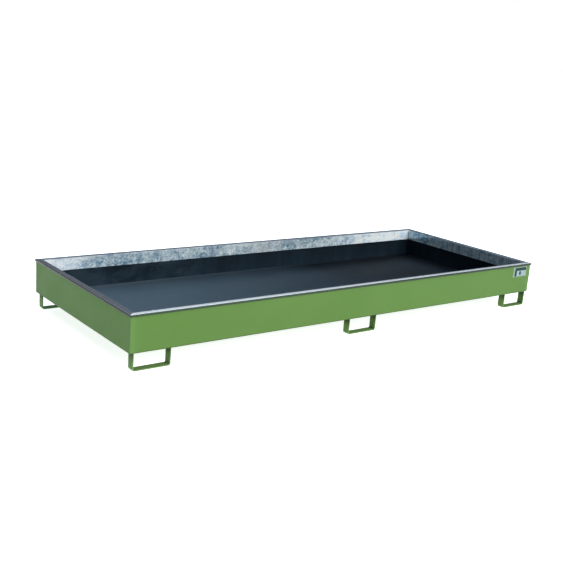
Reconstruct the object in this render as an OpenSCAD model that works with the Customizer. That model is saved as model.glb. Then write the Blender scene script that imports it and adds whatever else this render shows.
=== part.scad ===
// Steel sump tray for a rack bay: a folded and welded steel tray on six strap feet, with a plastic
// liner inside it and a galvanised rail hooked over the top of each wall.
// X runs along the length, Y from the front to the back, Z up. The origin is on the ground, under
// the middle of the tray. All sizes are in millimetres.

/* [Overall size] */
// Length over the rim rails, along X
rim_length = 3300; // [2600:10:3900]
// Depth over the rim rails, along Y
rim_depth = 1300; // [1000:10:1500]
// Height of the rim above the ground
rim_height = 320; // [260:5:420]
// Height of the tray's flat underside above the ground
ground_clearance = 100; // [80:5:120]

/* [Tray] */
// Thickness of the steel sheet
sheet_t = 3; // [2:0.5:4]
// Outside radius of the folds in the wall panels
fold_r = 6; // [5:0.5:8]
// Width of the folded flanges at the top and bottom of each wall, from its outside face
wall_flange = 28; // [24:1:32]

/* [Rim rails] */
// Distance that the rails stand out from the walls
rim_overhang = 7; // [5:0.5:10]
// Thickness of the galvanised sheet
rail_t = 2; // [1.5:0.5:2.5]
// Outside radius of the folds in the rails
rail_bend_r = 5; // [3:0.5:6]
// Height of the lip that hangs over the outside of the wall
rail_lip = 14; // [10:1:20]
// Height of the skirt that reaches down inside the tray
rail_skirt = 80; // [60:5:100]

/* [Liner] */
// Thickness of the plastic sheet
liner_t = 5; // [4:0.5:6]

/* [Feet] */
// Width of each foot, along X
foot_width = 230; // [180:5:280]
// Width of the flat bar that the feet are bent from, along Y
strap_width = 50; // [40:5:60]
// Thickness of the flat bar
strap_t = 6; // [5:0.5:10]
// Outside radius of the bends in the flat bar
strap_bend_r = 14; // [12:1:20]
// Distance from the end walls' outside faces to the corner feet
foot_end_inset = 20; // [10:5:60]
// Distance from the long walls' outside faces to the feet
foot_side_inset = 3; // [0:1:20]

/* [Stiffeners] */
// Width of the channels under the floor
stiffener_width = 60; // [40:5:80]
// Depth of the channels below the floor
stiffener_depth = 30; // [20:5:40]

/* [Nameplate] */
// Width of the nameplate
plate_width = 150; // [100:5:180]
// Height of the nameplate
plate_height = 75; // [50:5:90]
// Thickness of the nameplate
plate_t = 1; // [0.5:0.5:1]
// Distance from the right end of the front wall to the nameplate
plate_end_inset = 38; // [20:1:80]
// Distance from the rail's lip down to the nameplate
plate_drop = 6; // [2:1:20]

/* [Hidden] */
$fn = 64;

// Outside size of the walls, which the rails overhang on every side
wall_length = rim_length - 2 * rim_overhang;
wall_depth = rim_depth - 2 * rim_overhang;
wall_bottom = ground_clearance;
// The rails lie flat on the walls' top flanges
wall_top = rim_height - rail_t;

// The liner stands just inside the top flanges, and the rails' skirts just inside the liner
clearance = 0.5;
liner_inset = wall_flange + clearance;
liner_length = wall_length - 2 * liner_inset;
liner_depth = wall_depth - 2 * liner_inset;
liner_bottom = wall_bottom + sheet_t;
liner_top = wall_top - 2 * clearance;
rail_width = rim_overhang + liner_inset + liner_t + clearance + rail_t;

foot_x = wall_length / 2 - foot_end_inset - foot_width / 2;
foot_y = wall_depth / 2 - foot_side_inset - strap_width / 2;
// The stiffeners stop well inside the feet, where the walls hide their ends
stiffener_end_gap = 60;
stiffener_length = wall_depth - 2 * (foot_side_inset + strap_width + stiffener_end_gap);

plate_corner_r = 5;
plate_top = rim_height - rail_lip - plate_drop;
plate_x = wall_length / 2 - plate_end_inset - plate_width / 2;
plate_z = plate_top - plate_height / 2;
rivet_inset = 7;
rivet_hole_r = 1.65;
rivet_shank_r = 1.6;
rivet_head_r = 3.2;
rivet_head_h = 1.2;
rivet_bulb_r = 2.4;
rivet_bulb_length = 3;

// Turns that carry the front side to each of the four sides
front = 0;
right = 90;
back = 180;
left = -90;

PAINT = "#6f9657";
ZINC = "#a9b6bf";
PLASTIC = "#23282d";
PLATE = "#b9c6bb";

// A quarter of a bent sheet, in the first quadrant and about the origin
module bend(outer_r, t) {
    intersection() {
        difference() {
            circle(outer_r);
            circle(outer_r - t);
        }
        square(outer_r);
    }
}

// The outer part of a folded section, x inwards from the outside face and y up: an upright leg and
// the quarter bend on top of it
module outer_leg(outer_r, t, top, leg_bottom) {
    translate([0, leg_bottom]) square([t, top - outer_r - leg_bottom]);
    translate([outer_r, top - outer_r]) rotate(90) bend(outer_r, t);
}

module wall_section() {
    middle = (wall_top + wall_bottom) / 2;
    flange = wall_flange - fold_r;
    outer_leg(fold_r, sheet_t, wall_top, middle);
    translate([fold_r, wall_top - sheet_t]) square([flange, sheet_t]);
    translate([0, 2 * middle]) mirror([0, 1]) outer_leg(fold_r, sheet_t, wall_top, middle);
    translate([fold_r, wall_bottom]) square([flange, sheet_t]);
}

module rail_section() {
    outer_leg(rail_bend_r, rail_t, rim_height, rim_height - rail_lip);
    translate([rail_bend_r, rim_height - rail_t]) square([rail_width - 2 * rail_bend_r, rail_t]);
    translate([rail_width, 0]) mirror([1, 0])
        outer_leg(rail_bend_r, rail_t, rim_height, rim_height - rail_skirt);
}

// Runs a section along one side of a rectangle and mitres both ends at 45 degrees. The run is the
// side's length, and the span is the distance between that side and the opposite one.
module mitred_side(turn, run, span, section_width) {
    rotate([0, 0, turn]) translate([0, -span / 2, 0]) intersection() {
        rotate([90, 0, 90]) linear_extrude(run, center = true) children();
        linear_extrude(rim_height) polygon([
            [-run / 2, 0],
            [run / 2, 0],
            [run / 2 - section_width, section_width],
            [-run / 2 + section_width, section_width]
        ]);
    }
}

module long_wall(turn) {
    mitred_side(turn, wall_length, wall_depth, wall_flange) wall_section();
}

module end_wall(turn) {
    mitred_side(turn, wall_depth, wall_length, wall_flange) wall_section();
}

// The four rivet places, from the middle of the nameplate
module at_rivets() {
    for (x = [-1, 1], z = [-1, 1])
        translate([
            plate_x + x * (plate_width / 2 - rivet_inset),
            -wall_depth / 2,
            plate_z + z * (plate_height / 2 - rivet_inset)
        ]) rotate([90, 0, 0]) children();
}

module rivet_holes() {
    at_rivets() cylinder(h = 4 * sheet_t, r = rivet_hole_r, center = true);
}

module floor_plate() {
    color(PAINT)
        translate([-wall_length / 2 + wall_flange, -wall_depth / 2 + wall_flange, wall_bottom])
            cube([wall_length - 2 * wall_flange, wall_depth - 2 * wall_flange, sheet_t]);
}

module front_wall() {
    color(PAINT) difference() {
        long_wall(front);
        rivet_holes();
    }
}

module back_wall() {
    color(PAINT) long_wall(back);
}

module left_wall() {
    color(PAINT) end_wall(left);
}

module right_wall() {
    color(PAINT) end_wall(right);
}

// An upright section with both bottom corners round, standing on the x axis
module rounded_bottom(width, height, corner_r) {
    translate([-width / 2, corner_r]) square([width, height - corner_r]);
    translate([-width / 2 + corner_r, 0]) square([width - 2 * corner_r, corner_r]);
    for (side = [-1, 1])
        translate([side * (width / 2 - corner_r), corner_r]) circle(corner_r);
}

// A flat bar bent into a U, welded by its two ends under the tray. Column and row are -1, 0 or 1.
module foot(column, row) {
    color(PAINT)
        translate([column * foot_x, row * foot_y, 0])
            rotate([90, 0, 0])
                linear_extrude(strap_width, center = true)
                    difference() {
                        rounded_bottom(foot_width, ground_clearance, strap_bend_r);
                        translate([0, strap_t])
                            rounded_bottom(
                                foot_width - 2 * strap_t,
                                ground_clearance,
                                strap_bend_r - strap_t
                            );
                    }
}

// A folded channel under the floor, between the front foot and the back one, open towards the floor
module stiffener(column) {
    color(PAINT)
        translate([column * foot_x, 0, ground_clearance - stiffener_depth])
            rotate([90, 0, 0])
                linear_extrude(stiffener_length, center = true)
                    difference() {
                        rounded_bottom(stiffener_width, stiffener_depth, fold_r);
                        translate([0, sheet_t])
                            rounded_bottom(
                                stiffener_width - 2 * sheet_t,
                                stiffener_depth,
                                fold_r - sheet_t
                            );
                    }
}

module liner() {
    color(PLASTIC) difference() {
        translate([-liner_length / 2, -liner_depth / 2, liner_bottom])
            cube([liner_length, liner_depth, liner_top - liner_bottom]);
        translate([-liner_length / 2 + liner_t, -liner_depth / 2 + liner_t, liner_bottom + liner_t])
            cube([liner_length - 2 * liner_t, liner_depth - 2 * liner_t, rim_height]);
    }
}

module long_rail(turn) {
    color(ZINC) mitred_side(turn, rim_length, rim_depth, rail_width) rail_section();
}

module end_rail(turn) {
    color(ZINC) mitred_side(turn, rim_depth, rim_length, rail_width) rail_section();
}

module nameplate() {
    color(PLATE) difference() {
        translate([plate_x, -wall_depth / 2, plate_z])
            rotate([90, 0, 0])
                linear_extrude(plate_t) {
                    square([plate_width - 2 * plate_corner_r, plate_height], center = true);
                    square([plate_width, plate_height - 2 * plate_corner_r], center = true);
                    for (x = [-1, 1], y = [-1, 1])
                        translate([
                            x * (plate_width / 2 - plate_corner_r),
                            y * (plate_height / 2 - plate_corner_r)
                        ]) circle(plate_corner_r);
                }
        rivet_holes();
    }
}

// A blind rivet: a domed head on the plate, a shank through plate and wall, and a bulb behind them
module rivet() {
    dome_r = (rivet_head_r * rivet_head_r + rivet_head_h * rivet_head_h) / (2 * rivet_head_h);
    translate([0, 0, plate_t]) intersection() {
        translate([0, 0, rivet_head_h - dome_r]) sphere(dome_r);
        cylinder(h = rivet_head_h, r = rivet_head_r);
    }
    translate([0, 0, -sheet_t]) cylinder(h = sheet_t + plate_t, r = rivet_shank_r);
    translate([0, 0, -sheet_t - rivet_bulb_length]) cylinder(h = rivet_bulb_length, r = rivet_bulb_r);
}

module nameplate_rivets() {
    color(ZINC) at_rivets() rivet();
}

floor_plate();
front_wall();
back_wall();
left_wall();
right_wall();
foot(-1, -1);  // foot_front_left
foot(0, -1);  // foot_front_middle
foot(1, -1);  // foot_front_right
foot(-1, 1);  // foot_back_left
foot(0, 1);  // foot_back_middle
foot(1, 1);  // foot_back_right
stiffener(-1);  // stiffener_left
stiffener(0);  // stiffener_middle
stiffener(1);  // stiffener_right
liner();
long_rail(front);  // rim_rail_front
long_rail(back);  // rim_rail_back
end_rail(left);  // rim_rail_left
end_rail(right);  // rim_rail_right
nameplate();
nameplate_rivets();
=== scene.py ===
"""Looks of the sump tray: paint, zinc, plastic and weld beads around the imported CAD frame."""

import math
import random

import bmesh
import bpy
from mathutils import Matrix, Vector


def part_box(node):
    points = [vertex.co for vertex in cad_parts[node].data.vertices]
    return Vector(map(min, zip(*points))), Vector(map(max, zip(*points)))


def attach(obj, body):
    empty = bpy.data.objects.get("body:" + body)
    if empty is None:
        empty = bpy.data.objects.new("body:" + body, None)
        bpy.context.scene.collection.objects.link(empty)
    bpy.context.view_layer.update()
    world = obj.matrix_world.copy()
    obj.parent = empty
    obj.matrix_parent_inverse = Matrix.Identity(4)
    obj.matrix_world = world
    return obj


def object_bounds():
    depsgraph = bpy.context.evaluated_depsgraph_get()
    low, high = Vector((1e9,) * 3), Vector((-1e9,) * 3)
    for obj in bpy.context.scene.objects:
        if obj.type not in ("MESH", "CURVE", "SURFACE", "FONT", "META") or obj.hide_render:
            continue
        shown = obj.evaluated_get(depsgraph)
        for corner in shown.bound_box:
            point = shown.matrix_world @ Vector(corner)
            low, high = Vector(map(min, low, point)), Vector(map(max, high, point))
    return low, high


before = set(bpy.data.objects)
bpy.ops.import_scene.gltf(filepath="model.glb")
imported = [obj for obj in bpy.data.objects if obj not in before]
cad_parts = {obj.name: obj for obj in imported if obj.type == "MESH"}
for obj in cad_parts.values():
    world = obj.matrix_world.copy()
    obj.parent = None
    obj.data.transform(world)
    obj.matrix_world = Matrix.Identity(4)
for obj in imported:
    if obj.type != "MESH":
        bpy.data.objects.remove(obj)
CAD_LO, CAD_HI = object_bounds()

MM = 0.001
TRAY_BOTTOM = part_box("floor_plate")[0].z
SKIRT_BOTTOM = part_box("rim_rail_front")[0].z
LINER_SHEET = 5 * MM
LINER_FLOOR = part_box("liner")[0].z + LINER_SHEET
STRAP = 6 * MM

RIGHT = Vector((1, 0, 0))
BACK = Vector((0, 1, 0))
UP = Vector((0, 0, 1))

WALLS = ["front_wall", "back_wall", "left_wall", "right_wall"]
FEET = [
    f"foot_{row}_{column}"
    for row in ("front", "back")
    for column in ("left", "middle", "right")
]
STIFFENERS = ["stiffener_left", "stiffener_middle", "stiffener_right"]
RAILS = ["rim_rail_front", "rim_rail_back", "rim_rail_left", "rim_rail_right"]
PAINTED = ["floor_plate"] + WALLS + FEET + STIFFENERS

# Places of the colour sockets on Blender's Mix node
MIX_SHARE, MIX_A, MIX_B, MIX_RESULT = 0, 6, 7, 2


# ---------------------------------------------------------------- materials

# Colours are linear red, green and blue
GREEN_DEEP = (0.09, 0.173, 0.045)
GREEN_LIGHT = (0.098, 0.184, 0.05)
GREEN_SPECK = (0.13, 0.25, 0.08)
# A paler green for the ends of the front wall
GREEN_CORNER_PALE = (0.2, 0.32, 0.14)
GREEN_DUSTY = (0.2, 0.31, 0.14)
# Painted light: a lighter green for the feet near the floor
GREEN_FLOOR_LIT = (0.14, 0.245, 0.08)
GREEN_GLOSS = (0.7, 1.0, 0.45, 1)
# Painted shade for the paint just under the tray
UNDER_TRAY_SHADE = (0.03, 0.042, 0.018)
WORN_SOLE = (0.16, 0.15, 0.13)

ZINC_DARK = (0.15, 0.28, 0.4)
ZINC_LIGHT = (0.86, 0.97, 1.0)
# Painted light: paler tones for the ends of the back rail
ZINC_BACK_LIT_DARK = (0.5, 0.72, 0.94)
ZINC_BACK_LIT_LIGHT = (0.95, 1.0, 1.0)
# Painted shade: a bluer dark tone for the right rail
ZINC_RIGHT_SHADE = (0.12, 0.33, 0.52)
ZINC_BLUSH = (1.0, 0.92, 0.92)
# Painted highlight for the front rail, painted reflection and shade for the rims' flat tops and
# inner bends, the left rail's top painted lighter, and painted shadow for the lips
ZINC_HIGHLIGHT = (0.93, 0.93, 0.92)
ZINC_TOP_SHADE_DARK = (0.10, 0.115, 0.14)
ZINC_TOP_SHADE_LIGHT = (0.27, 0.29, 0.33)
ZINC_LEFT_TOP_LIT = (0.17, 0.165, 0.18)
ZINC_LIP_SHADOW = (0.045, 0.06, 0.042)
ZINC_LEFT_LIP_SHADOW = (0.015, 0.022, 0.01)

BLACK_BLUISH = (0.0045, 0.0115, 0.019)
BLACK_BLUISH_DUSTY = (0.007, 0.016, 0.027)
BLACK_NEUTRAL = (0.0035, 0.0062, 0.0092)
BLACK_NEUTRAL_DUSTY = (0.0052, 0.0092, 0.014)
# Floor dust with painted sheen, and wall smudges with painted light
FLOOR_DUST_AND_SHEEN = (0.058, 0.087, 0.112)
SMUDGE_AND_LIGHT = (0.023, 0.042, 0.06)
SCUFF = (0.04, 0.05, 0.06)

PLATE_DARK = (0.18, 0.25, 0.19)
PLATE_LIGHT = (0.23, 0.31, 0.245)
PLATE_INK = (0.012, 0.036, 0.032)
PLATE_FIELD = (0.29, 0.36, 0.385)
PLATE_LINE = (0.14, 0.2, 0.19)
PLATE_DISC = (0.045, 0.085, 0.09)
RIVET_DARK = (0.42, 0.43, 0.43)
RIVET_LIGHT = (0.66, 0.67, 0.68)


class Graph:
    """A material's node tree around one Principled shader, with short calls for its patterns."""

    def __init__(self, name):
        self.material = bpy.data.materials.new(name)
        self.material.use_nodes = True
        self.nodes = self.material.node_tree.nodes
        self.links = self.material.node_tree.links
        self.nodes.clear()
        self.shader = self.nodes.new("ShaderNodeBsdfPrincipled")
        output = self.nodes.new("ShaderNodeOutputMaterial")
        self.links.new(self.shader.outputs[0], output.inputs[0])
        self.place = self.nodes.new("ShaderNodeTexCoord").outputs["Object"]

    def node(self, kind, settings=(), **inputs):
        """Adds a node. Inputs are named with _ for spaces, and hold a value or a node's output."""
        made = self.nodes.new(kind)
        for key, value in dict(settings).items():
            setattr(made, key, value)
        for key, value in inputs.items():
            self.feed(made.inputs[key.replace("_", " ")], value)
        return made

    def feed(self, socket, value):
        """Gives a socket a value, or links it to another node's output."""
        if isinstance(value, bpy.types.NodeSocket):
            self.links.new(value, socket)
        else:
            socket.default_value = value

    def set(self, **inputs):
        """Sets the shader's own inputs, named with _ for spaces."""
        for key, value in inputs.items():
            self.feed(self.shader.inputs[key.replace("_", " ")], value)

    def scaled(self, x=1.0, y=1.0, z=1.0):
        """The object's own coordinates, multiplied by a factor along each axis."""
        made = self.node("ShaderNodeMapping", Vector=self.place)
        made.inputs["Scale"].default_value = (x, y, z)
        return made.outputs[0]

    def noise(self, scale, detail=3.0, rough=0.55, distort=0.0, at=None):
        """Soft noise, mostly between 0.3 and 0.7. The scale is about its features per metre."""
        made = self.node(
            "ShaderNodeTexNoise",
            Vector=at or self.place,
            Scale=scale,
            Detail=detail,
            Roughness=rough,
            Distortion=distort,
        )
        return made.outputs["Fac"]

    def cells(self, scale, feature="F1", output="Distance", at=None):
        """A pattern of cells. The scale is about the number of cells in a metre."""
        made = self.node(
            "ShaderNodeTexVoronoi", {"feature": feature}, Vector=at or self.place, Scale=scale
        )
        return made.outputs[output]

    def math(self, operation, a, b=0.0):
        made = self.node("ShaderNodeMath", {"operation": operation})
        self.feed(made.inputs[0], a)
        self.feed(made.inputs[1], b)
        return made.outputs[0]

    def product(self, first, *others):
        for other in others:
            first = self.math("MULTIPLY", first, other)
        return first

    def total(self, first, *others):
        for other in others:
            first = self.math("ADD", first, other)
        return first

    def range(self, value, low, high, to_low=0.0, to_high=1.0, smooth=True):
        """Maps low..high of a value to another range, clamped."""
        made = self.node(
            "ShaderNodeMapRange",
            {"interpolation_type": "SMOOTHSTEP" if smooth else "LINEAR"},
            Value=value,
            From_Min=low,
            From_Max=high,
            To_Min=to_low,
            To_Max=to_high,
        )
        return made.outputs[0]

    def mix(self, share, a, b, blend="MIX"):
        """Colour a where the share is 0, and where it is 1, colour b or its blend with a."""
        made = self.nodes.new("ShaderNodeMix")
        made.data_type = "RGBA"
        made.blend_type = blend
        for index, value in ((MIX_SHARE, share), (MIX_A, a), (MIX_B, b)):
            if isinstance(value, tuple):
                value = (*value, 1.0)
            self.feed(made.inputs[index], value)
        return made.outputs[MIX_RESULT]

    def axes(self):
        """The object's own X, Y and Z, in metres."""
        made = self.node("ShaderNodeSeparateXYZ", Vector=self.place)
        return made.outputs

    def bump(self, height, distance, strength=1.0, under=None):
        """A bump of a real height in metres. Under is another bump that this one lies on."""
        made = self.node("ShaderNodeBump", Height=height, Distance=distance, Strength=strength)
        if under is not None:
            self.feed(made.inputs["Normal"], under)
        return made.outputs[0]


def green_paint():
    """Satin powder coat: orange peel, slight cloudiness, painted shade under the tray, painted
    light low on the feet and rubbed soles.
    """
    g = Graph("green_powder_coat")
    x, y, z = g.axes()
    cloud = g.noise(2.2, detail=4)
    speck = g.noise(900, detail=1)
    green = g.mix(g.range(cloud, 0.3, 0.7), GREEN_DEEP, GREEN_LIGHT)
    green = g.mix(g.range(speck, 0.62, 0.75, 0, 0.2), green, GREEN_SPECK)

    # The ends of the front wall are a little paler, near the corners
    wall_low, wall_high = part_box("front_wall")
    by_corner = g.range(
        g.math("ABSOLUTE", x), wall_high.x - 31 * MM, wall_high.x - 25 * MM, 0, 0.1
    )
    in_front = g.range(y, wall_low.y + 13 * MM, wall_low.y + 3 * MM)
    green = g.mix(g.product(by_corner, in_front), green, GREEN_CORNER_PALE)

    # Painted shade darkens whatever is close under the tray
    under_tray_shade = g.product(
        g.range(z, TRAY_BOTTOM - 50 * MM, TRAY_BOTTOM - 5 * MM, 0, 0.8),
        g.range(z, TRAY_BOTTOM + 1 * MM, TRAY_BOTTOM + 10 * MM, 1, 0),
        g.range(g.noise(24, detail=5), 0.3, 0.7, 0.85, 1),
    )
    green = g.mix(under_tray_shade, green, UNDER_TRAY_SHADE)

    # Low on the feet, the paint is dusty and painted lighter towards the floor as painted light,
    # and it is rubbed off the soles
    dust = g.product(
        g.range(z, 8 * MM, 22 * MM, 1, 0),
        g.range(g.noise(40, detail=4), 0.3, 0.7, 0.5, 0.9),
    )
    green = g.mix(dust, green, GREEN_DUSTY)
    floor_lit = g.range(z, 15 * MM, 80 * MM, 0.8, 0)
    green = g.mix(floor_lit, green, GREEN_FLOOR_LIT)
    rubbed = g.product(
        g.range(z, 1 * MM, 4 * MM, 1, 0),
        g.range(g.noise(60, detail=5), 0.45, 0.65, 0, 0.7),
    )
    green = g.mix(rubbed, green, WORN_SOLE)

    rough = g.range(g.noise(9, detail=5), 0.25, 0.75, 0.38, 0.5)
    peel = g.bump(g.noise(240, detail=2), 0.12 * MM, 0.35)
    wave = g.bump(g.noise(1.6, detail=1), 1.5 * MM, 0.25, under=peel)
    g.set(Base_Color=green, Roughness=rough, Normal=wave)
    g.set(Specular_IOR_Level=0.06, Specular_Tint=GREEN_GLOSS)
    return g.material


def spangle(g):
    """The zinc's crystals, with bent outlines: the tone of large and small ones, and a relief."""
    swirl = g.node("ShaderNodeTexNoise", Vector=g.place, Scale=18.0, Detail=2.0).outputs["Color"]
    shift = g.node("ShaderNodeVectorMath", {"operation": "SCALE"}, Vector=swirl, Scale=0.03)
    bent = g.node("ShaderNodeVectorMath", {"operation": "ADD"})
    g.feed(bent.inputs[0], g.place)
    g.feed(bent.inputs[1], shift.outputs[0])
    at = bent.outputs[0]
    large = g.node("ShaderNodeSeparateColor", Color=g.cells(75, output="Color", at=at))
    small = g.node("ShaderNodeSeparateColor", Color=g.cells(170, output="Color", at=at))
    feather = g.cells(130, feature="SMOOTH_F1", at=at)
    return large.outputs[0], small.outputs[1], feather


def rim_places(g):
    """Distances in from the rim's outside and down from its top, and a mask for each rail."""
    x, y, z = g.axes()
    in_x = g.math("SUBTRACT", CAD_HI[0], g.math("ABSOLUTE", x))
    in_y = g.math("SUBTRACT", CAD_HI[1], g.math("ABSOLUTE", y))
    ends = g.math("LESS_THAN", in_x, in_y)
    sides = g.math("SUBTRACT", 1, ends)
    rail = {
        "ends": ends,
        "front": g.product(sides, g.math("LESS_THAN", y, 0)),
        "back": g.product(sides, g.math("GREATER_THAN", y, 0)),
        "left": g.product(ends, g.math("LESS_THAN", x, 0)),
        "right": g.product(ends, g.math("GREATER_THAN", x, 0)),
    }
    return g.math("MINIMUM", in_x, in_y), g.math("SUBTRACT", CAD_HI[2], z), rail


def rim_light_and_shade(g, tone, inward, down, rail):
    """The rim's painted light and shade: a colour that paints its flat tops, inner bends and lips
    dark, and masks: where that colour goes, where the front rail has a painted highlight, and its
    lip.
    """
    top = g.range(down, 0.4 * MM, 1.6 * MM, 1, 0)
    # Painted highlight on the outer part of the front rail's flat top
    front_highlight_zone = g.product(rail["front"], g.range(inward, 25 * MM, 34 * MM, 1, 0))
    flat = g.product(top, g.range(inward, 6 * MM, 12 * MM), g.math("SUBTRACT", 1, front_highlight_zone))
    lip = g.product(g.range(inward, 3 * MM, 4.5 * MM, 1, 0), g.range(down, 0.8 * MM, 2.2 * MM))
    brow = g.product(g.range(inward, 35 * MM, 38 * MM), g.range(down, 2 * MM, 5 * MM, 1, 0))
    left_top = g.product(rail["left"], g.range(inward, 30 * MM, 36 * MM, 1, 0))

    # Flat tops and inner bends painted dark as painted reflection and shade, the left rail's top
    # lighter, and lips painted as shadow
    painted_rim_colour = g.mix(tone, ZINC_TOP_SHADE_DARK, ZINC_TOP_SHADE_LIGHT)
    painted_rim_colour = g.mix(left_top, painted_rim_colour, ZINC_LEFT_TOP_LIT)
    painted_rim_colour = g.mix(lip, painted_rim_colour, g.mix(rail["left"], ZINC_LIP_SHADOW, ZINC_LEFT_LIP_SHADOW))
    painted_rim_mask = g.math("MAXIMUM", g.math("MAXIMUM", flat, brow), g.math("MAXIMUM", lip, left_top))
    return painted_rim_colour, painted_rim_mask, g.product(front_highlight_zone, top), lip


def zinc():
    """Galvanised sheet: spangle, clouds and veins, with painted light and shade that give each rim
    rail a tone of its own.
    """
    g = Graph("galvanised_sheet")
    x, y, _ = g.axes()
    inward, down, rail = rim_places(g)
    crystal, grain, feather = spangle(g)
    cloud = g.noise(3.5, detail=5, rough=0.62, distort=0.8, at=g.scaled(1, 1, 1.4))
    vein = g.noise(14, detail=6, rough=0.7, distort=1.6, at=g.scaled(0.8, 0.8, 1.2))
    streaks = g.noise(1.0, detail=3, rough=0.6, at=g.scaled(70, 70, 3))

    # How light the zinc is: the patterns, each with its share, and the end rails' own tones, with
    # the right rail painted lighter towards the front as painted light.
    # Ranges of x and y are places in metres from the middle of the tray.
    tone = g.total(
        g.product(g.range(cloud, 0.38, 0.62), 0.3),
        g.product(g.range(vein, 0.38, 0.62), 0.28),
        g.product(crystal, 0.26),
        g.product(grain, 0.26),
        -0.05,
        g.product(g.range(streaks, 0.35, 0.65, -0.16, 0.16), rail["ends"]),
        g.product(rail["right"], g.range(y, 0.5, -0.6, 0.04, 0.3)),
    )

    # The back rail is painted paler towards both ends as painted light, with patches of warm blush
    # except at the right
    back_lit = g.total(g.range(x, 0.5, 1.35), g.range(x, -1.5, -1.2, 0.7, 0))
    back_lit = g.product(back_lit, rail["back"])
    dark = g.mix(back_lit, ZINC_DARK, ZINC_BACK_LIT_DARK)
    # The right rail's dark tone is a bluer painted shade
    dark = g.mix(rail["right"], dark, ZINC_RIGHT_SHADE)
    light = g.mix(back_lit, ZINC_LIGHT, ZINC_BACK_LIT_LIGHT)
    brightest = g.total(g.product(back_lit, -0.26), 0.8)
    colour = g.mix(g.range(tone, 0.22, brightest, smooth=False), dark, light)
    blush = g.range(g.noise(2.1, detail=3, distort=0.6), 0.57, 0.7, 0, 0.25)
    blush = g.product(blush, rail["back"], g.range(x, 0.3, 0.9, 1, 0))
    colour = g.mix(blush, colour, ZINC_BLUSH)

    painted_rim_colour, painted_rim_mask, painted_highlight, lip = rim_light_and_shade(g, tone, inward, down, rail)
    # The front rail's painted highlight, then the rim's painted shade
    colour = g.mix(painted_highlight, colour, ZINC_HIGHLIGHT)
    colour = g.mix(painted_rim_mask, colour, painted_rim_colour)
    rough = g.total(
        g.range(cloud, 0.3, 0.7, 0.24, 0.17),
        g.product(crystal, 0.05),
        g.product(rail["right"], -0.07),
    )
    metal = g.total(g.product(back_lit, -0.25), g.product(rail["right"], 0.15), 0.3, lip)
    facets = g.bump(g.total(crystal, g.product(feather, 0.5)), 0.12 * MM, 0.4)
    waves = g.bump(g.noise(4.5, detail=2, distort=0.4), 2 * MM, 0.25, under=facets)
    g.set(Base_Color=colour, Metallic=metal, Roughness=rough, Normal=waves)
    return g.material


def black_plastic():
    """Extruded sheet: dull black with fine draw lines, scuffs and a film of settled dust, and
    painted shade and sheen.
    """
    g = Graph("black_polyethylene")
    x, _, z = g.axes()
    on_floor = g.range(z, LINER_FLOOR, LINER_FLOOR + 12 * MM, 1, 0)
    on_wall = g.math("SUBTRACT", 1, on_floor)
    lines = g.noise(3.0, detail=3, at=g.scaled(0.6, 90, 90))
    scuffs = g.noise(26, detail=6, rough=0.7, distort=1.2, at=g.scaled(0.35, 1, 1))
    dust = g.noise(2.4, detail=6, rough=0.65)
    film = g.range(dust, 0.35, 0.75, 0.0, 0.6)

    # A bluish black that turns neutral and darker towards the right of the floor, as painted shade
    bluish = g.mix(film, BLACK_BLUISH, BLACK_BLUISH_DUSTY)
    neutral = g.mix(film, BLACK_NEUTRAL, BLACK_NEUTRAL_DUSTY)
    colour = g.mix(g.product(on_floor, g.range(x, 0.0, 1.0)), bluish, neutral)

    # The walls are painted darker upwards as painted shade, with faint upright streaks
    upward = g.range(z, LINER_FLOOR, SKIRT_BOTTOM, 1.35, 0.8, smooth=False)
    streaks = g.noise(1.0, detail=4, rough=0.65, at=g.scaled(16, 16, 1.6))
    shade = g.product(upward, g.range(streaks, 0.35, 0.75, 0.85, 1.35), on_wall)
    shade = g.total(shade, on_floor)
    grey = g.node("ShaderNodeCombineXYZ", X=shade, Y=shade, Z=shade).outputs[0]
    colour = g.mix(1.0, colour, grey, blend="MULTIPLY")

    # The floor is painted lighter towards the left, with dust and painted sheen, and the walls
    # there get smudges with painted light
    dust_and_sheen = g.total(
        g.range(x, -1.7, 0.6, 1.17, 0.0, smooth=False), g.range(dust, 0.3, 0.7, -0.05, 0.05)
    )
    colour = g.mix(g.product(on_floor, dust_and_sheen), colour, FLOOR_DUST_AND_SHEEN)
    smears = g.noise(4.5, detail=5, rough=0.6, distort=0.8, at=g.scaled(1, 1, 2))
    smudge_and_light = g.product(g.range(smears, 0.36, 0.62, 0.0, 0.7), on_wall, g.range(x, -0.1, -0.8))
    colour = g.mix(smudge_and_light, colour, SMUDGE_AND_LIGHT)
    colour = g.mix(g.range(scuffs, 0.68, 0.76, 0, 0.3), colour, SCUFF)

    rough = g.total(g.range(dust, 0.3, 0.7, 0.52, 0.58), g.range(lines, 0.35, 0.65, 0.0, 0.05))
    fine = g.bump(lines, 0.04 * MM, 0.6)
    sag = g.bump(g.noise(2.0, detail=1), 3 * MM, 0.3, under=fine)
    g.set(Base_Color=colour, Roughness=rough, Normal=sag, Specular_IOR_Level=0.12)
    return g.material


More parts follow.
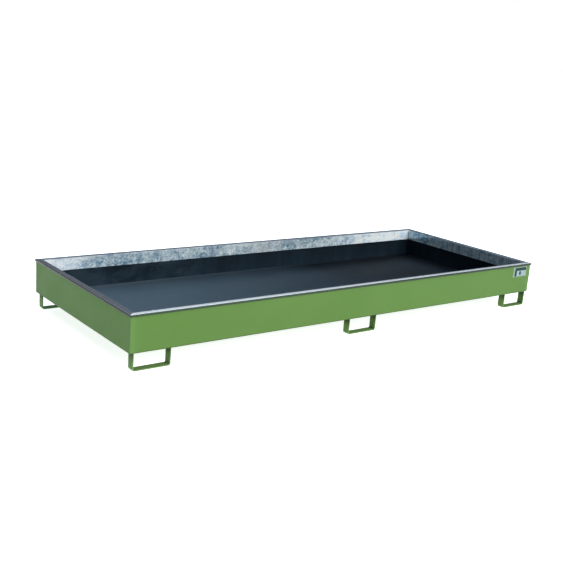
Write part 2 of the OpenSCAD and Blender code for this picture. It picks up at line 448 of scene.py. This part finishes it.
def plate_print():
    """A generic printed plate: a dark heading bar, a side bar, ruled lines and a plain disc."""
    g = Graph("nameplate_print")
    low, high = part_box("nameplate")
    width, height = high.x - low.x, high.z - low.z
    x, _, z = g.axes()
    across = g.range(x, low.x, high.x, smooth=False)
    upward = g.range(z, low.z, high.z, smooth=False)

    def band(value, start, end):
        return g.product(g.math("GREATER_THAN", value, start), g.math("LESS_THAN", value, end))

    def block(x0, x1, z0, z1):
        """The mask of a rectangle, in shares of the plate's width and height."""
        return g.product(band(across, x0, x1), band(upward, z0, z1))

    heading = block(0.15, 0.97, 0.62, 0.92)
    side_bar = block(0.12, 0.27, 0.06, 0.7)
    field = block(0.29, 0.93, 0.12, 0.58)
    colour = g.mix(g.noise(30, detail=4), PLATE_DARK, PLATE_LIGHT)
    colour = g.mix(heading, colour, PLATE_INK)
    colour = g.mix(side_bar, colour, PLATE_INK)
    colour = g.mix(field, colour, PLATE_FIELD)

    first_line, line_pitch, line_width = 0.2, 0.11, 0.03
    for row in range(4):
        level = first_line + line_pitch * row
        line = block(0.7, 0.9, level, level + line_width)
        colour = g.mix(line, colour, PLATE_LINE)

    disc_across, disc_upward, disc_radius = 0.52, 0.37, 15.5 * MM
    dx = g.product(g.math("SUBTRACT", across, disc_across), width)
    dz = g.product(g.math("SUBTRACT", upward, disc_upward), height)
    away = g.math("SQRT", g.total(g.product(dx, dx), g.product(dz, dz)))
    colour = g.mix(g.math("LESS_THAN", away, disc_radius), colour, PLATE_DISC)

    rough = g.range(g.noise(80), 0.3, 0.7, 0.3, 0.42)
    g.set(Base_Color=colour, Roughness=rough, Metallic=0.25, Specular_IOR_Level=0.1)
    g.set(Normal=g.bump(g.noise(420, detail=2), 0.05 * MM, 0.4))
    return g.material


def rivet_metal():
    """Plain aluminium, mottled and a little scratched."""
    g = Graph("rivet_aluminium")
    tone = g.mix(g.noise(700, detail=4), RIVET_DARK, RIVET_LIGHT)
    g.set(Base_Color=tone, Metallic=1.0, Roughness=g.range(g.noise(300), 0.3, 0.7, 0.3, 0.5))
    g.set(Normal=g.bump(g.noise(900, detail=2), 0.03 * MM, 0.5))
    return g.material


PAINT = green_paint()
ZINC = zinc()
PLASTIC = black_plastic()
LOOKS = {name: PAINT for name in PAINTED}
LOOKS.update({name: ZINC for name in RAILS})
LOOKS.update(liner=PLASTIC, nameplate=plate_print(), nameplate_rivets=rivet_metal())


def dress(name, edge):
    """Gives a CAD node its material and softens its edges by a small radius."""
    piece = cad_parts[name]
    piece.material_slots[0].material = LOOKS[name]
    weld = piece.modifiers.new("merge_seams", "WELD")
    weld.merge_threshold = 0.01 * MM
    soft = piece.modifiers.new("soft_edges", "BEVEL")
    soft.width = edge
    soft.segments = 2
    soft.limit_method = "ANGLE"
    soft.angle_limit = math.radians(35)
    soft.use_clamp_overlap = True
    soft.harden_normals = False


for node_name in LOOKS:
    dress(node_name, 0.3 * MM)


# ---------------------------------------------------------------- weld beads

random.seed(7)


def bead(name, runs, wide, high, ripple, material, rings=4, depth=0.16):
    """Rippled beads in one piece: each run goes straight from start to end, half sunk in its seam.

    A run is (start, end, across, rise), where across and rise are the axes of its cross-section.
    """
    sides = 10
    tip, taper, droop = 0.45, 0.4, 0.35
    mesh = bpy.data.meshes.new(name)
    made = bmesh.new()
    for start, end, across, rise in runs:
        along = (end - start).normalized()
        length = (end - start).length
        count = max(2, round(length / ripple)) * rings
        previous = None
        swell = 1.0
        for step in range(count + 1):
            if step % rings == 0:
                swell = random.uniform(0.9, 1.06)
            phase = (step % rings) / rings
            size = swell * (1 - depth * abs(2 * phase - 1) ** 1.5)
            from_end = min(step, count - step) / rings
            size *= min(1.0, tip + taper * from_end)
            middle = start + along * (length * step / count)
            ring = []
            for side in range(sides):
                angle = math.tau * side / sides
                lag = droop * ripple * (1 - abs(math.sin(angle))) * min(1.0, from_end)
                place = (
                    middle
                    + across * (wide * size * math.cos(angle))
                    + rise * (high * size * math.sin(angle))
                    - along * lag
                )
                ring.append(made.verts.new(place))
            if previous is None:
                made.faces.new(ring)
            else:
                for side in range(sides):
                    after = (side + 1) % sides
                    made.faces.new((previous[side], previous[after], ring[after], ring[side]))
            previous = ring
        made.faces.new(previous[::-1])
    bmesh.ops.recalc_face_normals(made, faces=made.faces)
    made.to_mesh(mesh)
    made.free()
    for polygon in mesh.polygons:
        polygon.use_smooth = True
    mesh.materials.append(material)
    piece = bpy.data.objects.new(name, mesh)
    bpy.context.scene.collection.objects.link(piece)
    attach(piece, "root")


def corner_welds():
    """The dressed welds down the four mitred corners of the walls."""
    low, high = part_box("front_wall")
    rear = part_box("back_wall")[1].y
    size, ripple, sunk = 3.2 * MM, 3 * MM, 1.2 * MM
    for x, y, place in (
        (low.x, low.y, "front_left"),
        (high.x, low.y, "front_right"),
        (low.x, rear, "back_left"),
        (high.x, rear, "back_right"),
    ):
        inset = (RIGHT * -math.copysign(1, x) + BACK * -math.copysign(1, y)) * sunk
        start = Vector((x, y, low.z + 4 * MM)) + inset
        end = Vector((x, y, high.z - 14 * MM)) + inset
        run = (start, end, RIGHT, BACK)
        bead(f"weld_corner_{place}", [run], size, size, ripple, PAINT)


def foot_welds():
    """Fillets on both faces of each strap, where it stands against the tray's underside."""
    size, ripple, stop = 4.5 * MM, 3 * MM, 3 * MM
    for name in FEET:
        low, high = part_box(name)
        runs = []
        for face in (low.x, low.x + STRAP, high.x - STRAP, high.x):
            start = Vector((face, low.y + stop, high.z))
            end = Vector((face, high.y - stop, high.z))
            runs.append((start, end, RIGHT, UP))
        bead(f"weld_{name}", runs, size, size, ripple, PAINT)


def stiffener_welds():
    """Stitch welds along both edges of each channel under the floor."""
    size, ripple = 4 * MM, 3 * MM
    stitch, pitch, stop = 45 * MM, 200 * MM, 30 * MM
    for name in STIFFENERS:
        low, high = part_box(name)
        length = high.y - low.y
        gaps = int(length / pitch)
        runs = []
        for edge in (low.x, high.x):
            for index in range(gaps + 1):
                middle = low.y + stop + (length - 2 * stop) * index / gaps
                start = Vector((edge, middle - stitch / 2, high.z))
                end = Vector((edge, middle + stitch / 2, high.z))
                runs.append((start, end, RIGHT, UP))
        bead(f"weld_{name}", runs, size, size, ripple, PAINT)


def floor_welds():
    """The seams between the floor plate and the walls' bottom flanges, broken at the feet."""
    low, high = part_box("floor_plate")
    wide, proud, ripple, gap = 4 * MM, 1.8 * MM, 9 * MM, 9 * MM

    def seam(place, runs):
        bead(f"weld_floor_{place}", runs, wide, proud, ripple, PAINT, rings=3)

    stops = []
    for column in ("left", "middle", "right"):
        foot_low, foot_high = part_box(f"foot_front_{column}")
        stops += [foot_low.x + STRAP / 2, foot_high.x - STRAP / 2]
    ends = [low.x] + [x for x in stops if low.x < x < high.x] + [high.x]
    for y, place in ((low.y, "front"), (high.y, "back")):
        runs = []
        for x0, x1 in zip(ends, ends[1:]):
            start = Vector((x0 + gap, y, low.z))
            end = Vector((x1 - gap, y, low.z))
            runs.append((start, end, BACK, UP))
        seam(place, runs)
    for x, place in ((low.x, "left"), (high.x, "right")):
        start = Vector((x, low.y + gap, low.z))
        end = Vector((x, high.y - gap, low.z))
        seam(place, [(start, end, RIGHT, UP)])


def liner_welds():
    """Hand-extruded beads that seal the liner's sheets along the floor and up the corners."""
    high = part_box("liner")[1]
    x, y = high.x - LINER_SHEET, high.y - LINER_SHEET
    top = SKIRT_BOTTOM - 4 * MM

    def seal(place, start, end, across, rise, ripple):
        run = (start, end, across, rise)
        size = 5 * MM
        bead(
            f"liner_bead_{place}", [run], size, size, ripple, PLASTIC, depth=0.1
        )

    floor_low, floor_high = Vector((-x, -y, LINER_FLOOR)), Vector((x, y, LINER_FLOOR))
    front_right, back_left = Vector((x, -y, LINER_FLOOR)), Vector((-x, y, LINER_FLOOR))
    seal("front", floor_low, front_right, BACK, UP, 26 * MM)
    seal("back", back_left, floor_high, BACK, UP, 26 * MM)
    seal("left", floor_low, back_left, RIGHT, UP, 26 * MM)
    seal("right", front_right, floor_high, RIGHT, UP, 26 * MM)
    for corner, place in (
        (floor_low, "front_left"),
        (back_left, "back_left"),
        (front_right, "front_right"),
        (floor_high, "back_right"),
    ):
        upper = Vector((corner.x, corner.y, top))
        seal(place, corner, upper, RIGHT, BACK, 22 * MM)


corner_welds()
foot_welds()
stiffener_welds()
floor_welds()
liner_welds()


# ---------------------------------------------------------------- camera


def camera():
    """The view from the front left and above, tilted a little like a hand-held shot."""
    location = Vector((-3.673, -4.534, 1.679))
    azimuth = math.radians(38.45)
    drop = math.radians(14.42)
    roll = math.radians(4.46)
    forward = Vector(
        (
            math.sin(azimuth) * math.cos(drop),
            math.cos(azimuth) * math.cos(drop),
            -math.sin(drop),
        )
    )
    level = forward.cross(UP).normalized()
    above = level.cross(forward)
    right = level * math.cos(roll) + above * math.sin(roll)
    top = right.cross(forward)
    data = bpy.data.cameras.new("camera")
    data.sensor_width = 36
    data.lens = 55.75
    data.shift_x = -0.0227
    data.shift_y = -0.0021
    data.clip_end = 200
    made = bpy.data.objects.new("camera", data)
    rows = [[right[i], top[i], -forward[i], location[i]] for i in range(3)]
    made.matrix_world = Matrix(rows + [[0, 0, 0, 1]])
    bpy.context.scene.collection.objects.link(made)
    bpy.context.scene.camera = made


camera()


# ---------------------------------------------------------------- stage and light


def stage_floor():
    """A white acrylic table, lit a little from within as in a product studio."""
    mesh = bpy.data.meshes.new("floor")
    far = 60
    mesh.from_pydata(
        [(-far, -far, 0), (far, -far, 0), (far, far, 0), (-far, far, 0)], [], [(0, 1, 2, 3)]
    )
    floor = bpy.data.objects.new("floor", mesh)
    bpy.context.scene.collection.objects.link(floor)
    g = Graph("white_table")
    g.set(Base_Color=(0.9, 0.9, 0.9, 1), Roughness=0.9, Specular_IOR_Level=0.1)
    g.set(Emission_Color=(0.97, 1, 0.99, 1), Emission_Strength=0.85)
    mesh.materials.append(g.material)


class Sky:
    """The room around the tray, as soft zones of light in the world's background."""

    def __init__(self, ambient):
        self.world = bpy.data.worlds.new("studio")
        bpy.context.scene.world = self.world
        self.world.use_nodes = True
        self.nodes = self.world.node_tree.nodes
        self.links = self.world.node_tree.links
        self.nodes.clear()
        self.direction = self.nodes.new("ShaderNodeTexCoord").outputs["Generated"]
        colour = self.nodes.new("ShaderNodeRGB")
        colour.outputs[0].default_value = (*ambient, 1)
        self.light = colour.outputs[0]

    def zone(self, azimuth, elevation, inner, outer, colour):
        """Adds light around a direction: all of it within the inner angle, none past the outer.

        Angles are in degrees, and the azimuth turns from the tray's back (+Y) to its right (+X).
        """
        a, e = math.radians(azimuth), math.radians(elevation)
        aim = (math.sin(a) * math.cos(e), math.cos(a) * math.cos(e), math.sin(e))
        dot = self.nodes.new("ShaderNodeVectorMath")
        dot.operation = "DOT_PRODUCT"
        self.links.new(self.direction, dot.inputs[0])
        dot.inputs[1].default_value = aim
        fade = self.nodes.new("ShaderNodeMapRange")
        fade.interpolation_type = "SMOOTHSTEP"
        self.links.new(dot.outputs["Value"], fade.inputs["Value"])
        fade.inputs["From Min"].default_value = math.cos(math.radians(outer))
        fade.inputs["From Max"].default_value = math.cos(math.radians(inner))
        add = self.nodes.new("ShaderNodeMix")
        add.data_type = "RGBA"
        add.blend_type = "ADD"
        self.links.new(fade.outputs[0], add.inputs[MIX_SHARE])
        self.links.new(self.light, add.inputs[MIX_A])
        add.inputs[MIX_B].default_value = (*colour, 1)
        self.light = add.outputs[MIX_RESULT]

    def finish(self):
        """Camera rays see plain white. All other rays see the zones."""
        room = self.nodes.new("ShaderNodeBackground")
        self.links.new(self.light, room.inputs[0])
        seen = self.nodes.new("ShaderNodeBackground")
        seen.inputs[0].default_value = (1, 1, 1, 1)
        path = self.nodes.new("ShaderNodeLightPath")
        pick = self.nodes.new("ShaderNodeMixShader")
        output = self.nodes.new("ShaderNodeOutputWorld")
        self.links.new(path.outputs["Is Camera Ray"], pick.inputs[0])
        self.links.new(room.outputs[0], pick.inputs[1])
        self.links.new(seen.outputs[0], pick.inputs[2])
        self.links.new(pick.outputs[0], output.inputs[0])


stage_floor()
sky = Sky(ambient=(0.05, 0.062, 0.075))
# The key light in front, the ceiling, a wall at the left, and a cool light above the back
sky.zone(azimuth=165, elevation=36, inner=8, outer=38, colour=(4.7, 4.7, 4.6))
sky.zone(azimuth=0, elevation=90, inner=10, outer=50, colour=(0.08, 0.09, 0.1))
sky.zone(azimuth=250, elevation=30, inner=10, outer=60, colour=(0.08, 0.085, 0.09))
sky.zone(azimuth=20, elevation=65, inner=10, outer=45, colour=(1.15, 1.5, 1.85))
sky.finish()
bpy.context.scene.view_settings.view_transform = "Standard"
